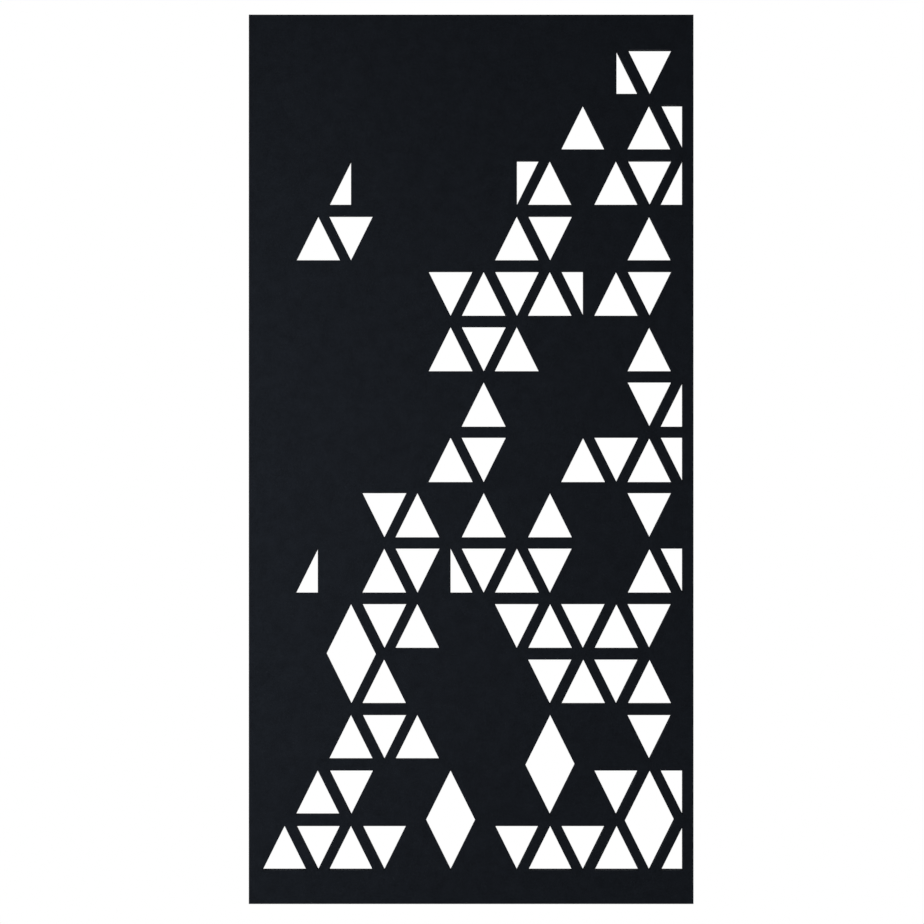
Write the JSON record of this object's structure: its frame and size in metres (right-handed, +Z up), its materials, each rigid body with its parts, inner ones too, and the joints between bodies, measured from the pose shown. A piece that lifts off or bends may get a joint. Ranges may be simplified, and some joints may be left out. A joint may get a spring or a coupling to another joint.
{
  "type": "hanging room divider",
  "caption": "Tall flat black felt room divider with scattered triangular and diamond cut-outs, hung from sliding threaded hangers in a hidden rail along its top edge.",
  "frame": {"origin": "middle of the top edge, half-way between the two cable holes and level with their mouths", "axes": "+Z up along the cable holes, +X to the right seen from the front, the front face towards -Y"},
  "size_m": [1.2, 0.0242, 2.4],
  "materials": {
    "felt": "needled polyester felt, matte",
    "film": "hot-melt web, dull",
    "rail": "black anodised extrusion, satin",
    "dowel": "fluted beech, plain",
    "plug": "moulded nylon, matte",
    "hanger": "zinc plated, satin",
    "lock_screw": "black oxide, oiled"
  },
  "bodies": {
    "panel": {"front_felt": "felt", "rear_felt": "felt", "bonding_film": "film", "hanging_rail": "rail", "rail_pins": "dowel", "rail_plug_left": "plug", "rail_plug_right": "plug"},
    "left_hanger": {"hanger_left": "hanger"},
    "right_hanger": {"hanger_right": "hanger"},
    "left_lock": {"lock_screw_left": "lock_screw"},
    "right_lock": {"lock_screw_right": "lock_screw"}
  },
  "joints": [
    {"name": "left_hanger_slide", "type": "slide", "parent": "panel", "child": "left_hanger", "axis": [1, 0, 0], "range_m": [-0.0735, 0.4275]},
    {"name": "right_hanger_slide", "type": "slide", "parent": "panel", "child": "right_hanger", "axis": [1, 0, 0], "range_m": [-0.4275, 0.0735]},
    {"name": "left_lock_turn", "type": "hinge", "parent": "left_hanger", "child": "left_lock", "pos_m": [-0.437, 0, -0.0076], "axis": [0, 0, 1], "range_deg": [0, 360]},
    {"name": "right_lock_turn", "type": "hinge", "parent": "right_hanger", "child": "right_lock", "pos_m": [0.437, 0, -0.0076], "axis": [0, 0, 1], "range_deg": [0, 360]}
  ]
}
